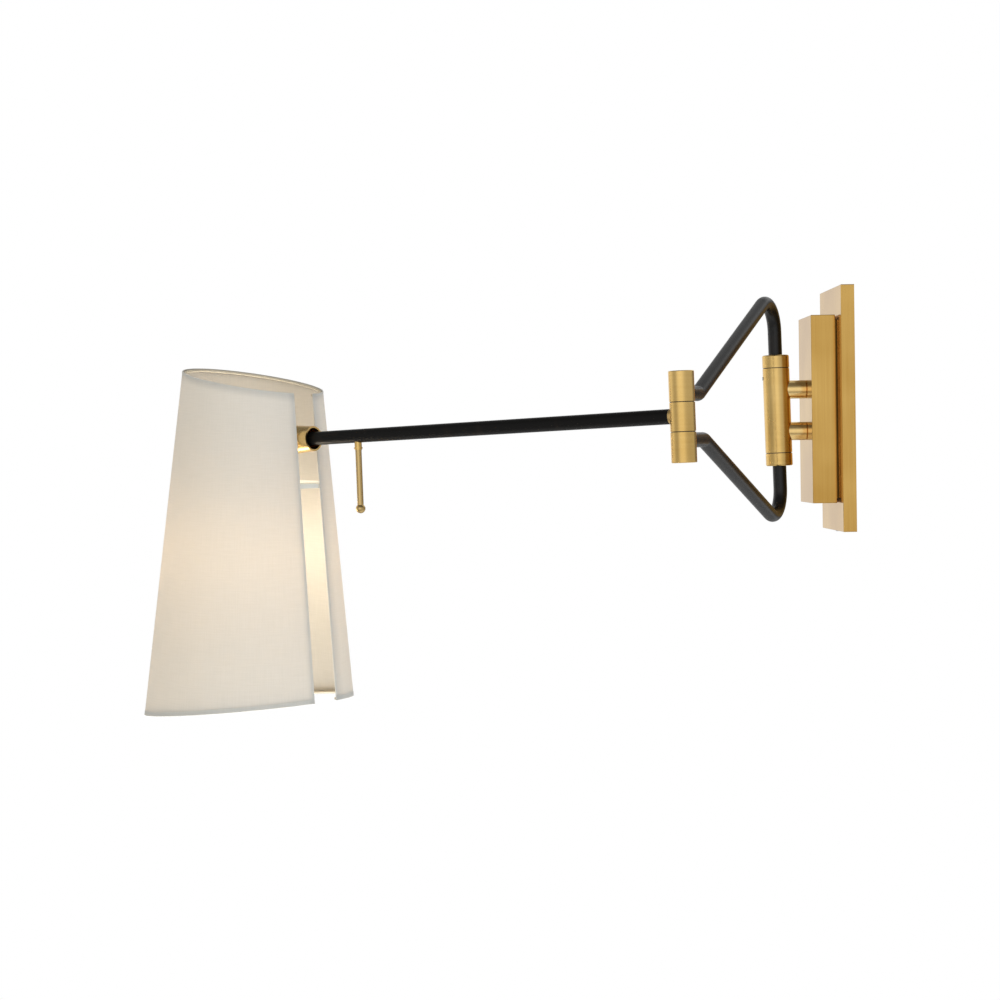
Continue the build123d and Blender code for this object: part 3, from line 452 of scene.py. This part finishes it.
def grip_ribs_tree():
    """Half-round ribs standing side by side round the edge of a nut or a screw head."""
    tree = bpy.data.node_groups.new("grip ribs", "GeometryNodeTree")
    sockets = tree.interface
    sockets.new_socket("Count", in_out="INPUT", socket_type="NodeSocketInt")
    for size in ("Edge radius", "Rib radius", "Rib length"):
        sockets.new_socket(size, in_out="INPUT", socket_type="NodeSocketFloat")
    sockets.new_socket("Middle", in_out="INPUT", socket_type="NodeSocketVector")
    sockets.new_socket("Turn", in_out="INPUT", socket_type="NodeSocketVector")
    sockets.new_socket("Finish", in_out="INPUT", socket_type="NodeSocketMaterial")
    sockets.new_socket("Geometry", in_out="OUTPUT", socket_type="NodeSocketGeometry")
    given = put(tree, "NodeGroupInput").outputs
    edge = put(tree, "GeometryNodeMeshCircle", {"Vertices": given["Count"], "Radius": given["Edge radius"]})
    rib = put(tree, "GeometryNodeMeshCylinder", {"Vertices": RIB_SIDES, "Radius": given["Rib radius"],
              "Depth": given["Rib length"]})
    row = put(tree, "GeometryNodeInstanceOnPoints", {"Points": edge, "Instance": rib})
    set_down = put(tree, "GeometryNodeTransform", {"Geometry": row, "Translation": given["Middle"],
                   "Rotation": put(tree, "FunctionNodeEulerToRotation", [given["Turn"]])})
    single = put(tree, "GeometryNodeRealizeInstances", [set_down])
    dressed = put(tree, "GeometryNodeSetMaterial", {"Geometry": single, "Material": given["Finish"]})
    put(tree, "NodeGroupOutput", [dressed])
    return tree


def grown(name, tree, sizes):
    """Runs a tree with its named inputs, and keeps the result as a plain mesh."""
    seed = bpy.data.objects.new(name + "_seed", bpy.data.meshes.new(name + "_seed"))
    bpy.context.scene.collection.objects.link(seed)
    modifier = seed.modifiers.new("tree", "NODES")
    modifier.node_group = tree
    keys = {item.name: item.identifier for item in tree.interface.items_tree if item.in_out == "INPUT"}
    for size, value in sizes.items():
        modifier[keys[size]] = value
    depsgraph = bpy.context.evaluated_depsgraph_get()
    mesh = bpy.data.meshes.new_from_object(seed.evaluated_get(depsgraph), preserve_all_data_layers=True,
                                           depsgraph=depsgraph)
    bpy.data.objects.remove(seed)
    mesh.name = name
    piece = bpy.data.objects.new(name, mesh)
    bpy.context.scene.collection.objects.link(piece)
    return piece


SHADE_SIZES = {
    "Top radius": SHADE_TOP_R, "Bottom radius": SHADE_BOTTOM_R, "Rise": SHADE_UP, "Fall": SHADE_DOWN,
    "Top slope": TOP_SLOPE, "Bottom slope": BOTTOM_SLOPE, "Slit top": SLIT_TOP_W, "Slit bottom": SLIT_BOTTOM_W,
    "Lean": HEAD_LEAN, "Heading": ARM_HEADING, "Hub": HUB}
PANEL = shade_panel_tree()


def thickened(piece, wall, edge):
    """Gives a sheet its wall, inward from its face, with softened edges and liner paper on the inside."""
    piece.data.materials.append(LINER)
    solid = piece.modifiers.new("wall", "SOLIDIFY")
    solid.thickness = wall
    solid.offset = -1.0
    solid.use_even_offset = True
    solid.material_offset = 1
    soft = piece.modifiers.new("soft edges", "BEVEL")
    soft.width = edge
    soft.segments = 2
    soft.limit_method = "ANGLE"
    soft.harden_normals = True


def shade_cloth():
    """The shade's linen and liner, in place of its plain shell."""
    cloth = grown("shade_cloth", PANEL, SHADE_SIZES | {
        "From rim": 0.0, "From drop": 0.0, "To rim": 1.0, "To drop": 0.0, "From edge": 0.0, "From shift": 0.0,
        "To edge": 1.0, "To shift": 0.0, "Outward": 0.0, "Columns": ROUND_COLUMNS, "Rows": FALL_ROWS,
        "Finish": LINEN})
    thickened(cloth, SHADE_WALL, CLOTH_EDGE)
    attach(cloth, "lamp_head")
    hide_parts("shade")
    return cloth


def hem(name, columns, rows, span):
    """Tape over one edge of the shade, one ply proud outside and tucked under the liner inside."""
    tape = grown(name, PANEL, SHADE_SIZES | span | {
        "Outward": HEM_PLY, "Columns": columns, "Rows": rows, "Finish": HEM})
    thickened(tape, SHADE_WALL + HEM_PLY - HEM_TUCK, HEM_EDGE)
    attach(tape, "lamp_head")
    return tape


def hems():
    """Tapes along both rims and both edges of the slit."""
    whole_round = {"From edge": 0.0, "From shift": -HEM_LIP, "To edge": 1.0, "To shift": HEM_LIP}
    whole_fall = {"From rim": 0.0, "From drop": HEM_TOP_H, "To rim": 1.0, "To drop": -HEM_BOTTOM_H}
    return [
        hem("shade_hem_top", ROUND_COLUMNS, TAPE_STEPS, whole_round | {
            "From rim": 0.0, "From drop": -HEM_LIP, "To rim": 0.0, "To drop": HEM_TOP_H}),
        hem("shade_hem_bottom", ROUND_COLUMNS, TAPE_STEPS, whole_round | {
            "From rim": 1.0, "From drop": -HEM_BOTTOM_H, "To rim": 1.0, "To drop": HEM_LIP}),
        hem("shade_hem_slit_near", TAPE_STEPS, FALL_ROWS, whole_fall | {
            "From edge": 0.0, "From shift": -HEM_LIP, "To edge": 0.0, "To shift": HEM_SLIT_W}),
        hem("shade_hem_slit_far", TAPE_STEPS, FALL_ROWS, whole_fall | {
            "From edge": 1.0, "From shift": -HEM_SLIT_W, "To edge": 1.0, "To shift": HEM_LIP})]


shade_cloth()
hems()

RIBS = grip_ribs_tree()


def fitter_ribs(name, height):
    """Ribs round a ring nut that holds the shade on the lampholder."""
    ribs = grown(name, RIBS, {
        "Count": FITTER_RIB_COUNT, "Edge radius": FITTER_NUT_R, "Rib radius": FITTER_RIB_R,
        "Rib length": FITTER_RIB_L, "Middle": SHADE_FRAME @ Vector((0, 0, height)),
        "Turn": SHADE_FRAME.to_euler(), "Finish": PHENOLIC})
    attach(ribs, "lamp_head")


def tilt_ribs(name, side):
    """Ribs round the head of the tilt screw or its nut."""
    lying = SHADE_FRAME @ Euler((math.pi / 2, 0, 0)).to_matrix().to_4x4()
    ribs = grown(name, RIBS, {
        "Count": TILT_RIB_COUNT, "Edge radius": TILT_HEAD_R, "Rib radius": TILT_RIB_R,
        "Rib length": TILT_RIB_L, "Middle": SHADE_FRAME @ Vector((0, side, 0)),
        "Turn": lying.to_euler(), "Finish": BRASS_TURNED})
    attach(ribs, "lamp_head")


for name, height in FITTER_NUT_Z.items():
    fitter_ribs(name, height)
for name, side in TILT_HEAD_Y.items():
    tilt_ribs(name, side)

# No shadow of the ring shows through the cloth
for name in ("shade_ring", "shade_spider"):
    frame["nodes"][name].visible_shadow = False
    frame["nodes"][name].visible_diffuse = False
    frame["nodes"][name].visible_transmission = False


# Stage: floor, light and camera


def pale_floor():
    """Matt white floor that fades out at its edge."""
    material, tree = blank_material("white floor")
    where = put(tree, "ShaderNodeTexCoord").outputs["Object"]
    flat = put(tree, "ShaderNodeVectorMath", [where, (1, 1, 0)], operation="MULTIPLY")
    reach = put(tree, "ShaderNodeVectorMath", [flat], operation="LENGTH")
    fade = put(tree, "ShaderNodeMapRange", {"Value": reach.outputs["Value"], "From Min": FLOOR_FADE_R,
               "From Max": FLOOR_R})
    shader = put(tree, "ShaderNodeMixShader", [fade, put(tree, "ShaderNodeBsdfDiffuse", {"Color": linear("FAFAF8")}),
                 put(tree, "ShaderNodeBsdfTransparent")])
    put(tree, "ShaderNodeOutputMaterial", [shader])
    turns = [math.tau * i / FLOOR_CORNERS for i in range(FLOOR_CORNERS)]
    corners = [(FLOOR_R * math.cos(turn), FLOOR_R * math.sin(turn), FLOOR_Z) for turn in turns]
    mesh = bpy.data.meshes.new("floor")
    mesh.from_pydata(corners, [], [list(range(FLOOR_CORNERS))])
    mesh.materials.append(material)
    floor = bpy.data.objects.new("floor", mesh)
    bpy.context.scene.collection.objects.link(floor)


def soft_light(name, at, aim, size, watts, colour):
    """A round softbox that lights the lamp and is not seen itself."""
    light = bpy.data.lights.new(name, "AREA")
    light.shape = "DISK"
    light.size = size
    light.energy = watts
    light.color = linear(colour)[:3]
    lamp = bpy.data.objects.new(name, light)
    lamp.location = at
    lamp.rotation_euler = (Vector(aim) - Vector(at)).to_track_quat("-Z", "Y").to_euler()
    lamp.visible_camera = False
    lamp.visible_glossy = False
    bpy.context.scene.collection.objects.link(lamp)
    return lamp


def bulb_light():
    """The lit bulb's light, which moves with the shade."""
    low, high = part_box("bulb_glass")
    light = bpy.data.lights.new("bulb light", "POINT")
    light.energy = LAMP_WATTS
    light.color = linear(LAMP_COLOUR)[:3]
    light.shadow_soft_size = BULB_LIGHT_R
    light.use_soft_falloff = False
    lamp = bpy.data.objects.new("bulb light", light)
    lamp.location = ((low.x + high.x) / 2, (low.y + high.y) / 2, low.z + BULB_R)
    lamp.visible_camera = False
    lamp.visible_glossy = False
    bpy.context.scene.collection.objects.link(lamp)
    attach(lamp, "lamp_head")


def white_room():
    """White all round to the eye; as light, softer, and in reflections brightest behind the lamp and by the lens."""
    world = bpy.data.worlds.new("white room")
    world.use_nodes = True
    tree = world.node_tree
    tree.nodes.clear()
    path = put(tree, "ShaderNodeLightPath").outputs
    ahead = put(tree, "ShaderNodeTexCoord").outputs["Generated"]
    level = ROOM_GLOSS
    for toward, edge, full, gain in ROOM_PATCHES:
        turn = put(tree, "ShaderNodeVectorMath", [ahead, Vector(toward).normalized()], operation="DOT_PRODUCT")
        patch = put(tree, "ShaderNodeMapRange", {"Value": turn.outputs["Value"], "From Min": edge, "From Max": full,
                    "To Min": 0.0, "To Max": gain}, interpolation_type="SMOOTHSTEP")
        level = put(tree, "ShaderNodeMath", [patch, level], operation="ADD")
    steep = put(tree, "ShaderNodeMath", [put(tree, "ShaderNodeSeparateXYZ", [ahead]).outputs["Z"]],
                operation="ABSOLUTE")
    dim = put(tree, "ShaderNodeMapRange", {"Value": steep, "From Min": ROOM_STEEP[0], "From Max": ROOM_STEEP[1],
              "To Min": 1.0, "To Max": ROOM_CEILING}, interpolation_type="SMOOTHSTEP")
    level = put(tree, "ShaderNodeMath", [level, dim], operation="MULTIPLY")
    seen = put(tree, "ShaderNodeMath", [path["Is Camera Ray"], path["Is Transmission Ray"]], operation="MAXIMUM")
    level = put(tree, "ShaderNodeMix", [path["Is Glossy Ray"], None, ROOM_DIFFUSE, level])
    level = put(tree, "ShaderNodeMix", [seen, None, level, 1.0])
    room = put(tree, "ShaderNodeBackground", {"Color": (1, 1, 1, 1), "Strength": level})
    put(tree, "ShaderNodeOutputWorld", [room])
    bpy.context.scene.world = world


def camera():
    """The camera that took the picture: place, turn, pitch and roll."""
    ahead = Vector((-math.cos(CAMERA_YAW) * math.cos(CAMERA_PITCH),
                    math.sin(CAMERA_YAW) * math.cos(CAMERA_PITCH), math.sin(CAMERA_PITCH)))
    level = ahead.cross(Vector((0, 0, 1))).normalized()
    upright = level.cross(ahead)
    right = math.cos(CAMERA_ROLL) * level + math.sin(CAMERA_ROLL) * upright
    up = -math.sin(CAMERA_ROLL) * level + math.cos(CAMERA_ROLL) * upright
    data = bpy.data.cameras.new("camera")
    data.lens = LENS_MM
    data.sensor_width = SENSOR_MM
    eye = bpy.data.objects.new("camera", data)
    axes = Matrix((right, up, -ahead)).transposed()
    eye.matrix_world = Matrix.Translation(CAMERA_AT) @ axes.to_4x4()
    bpy.context.scene.collection.objects.link(eye)
    bpy.context.scene.camera = eye


pale_floor()
soft_light("key", *KEY)
soft_light("fill", *FILL)
lift = soft_light("lift", *LIFT)
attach(lift, "lamp_head")
bulb_light()
white_room()
camera()
bpy.context.scene.view_settings.view_transform = "Standard"
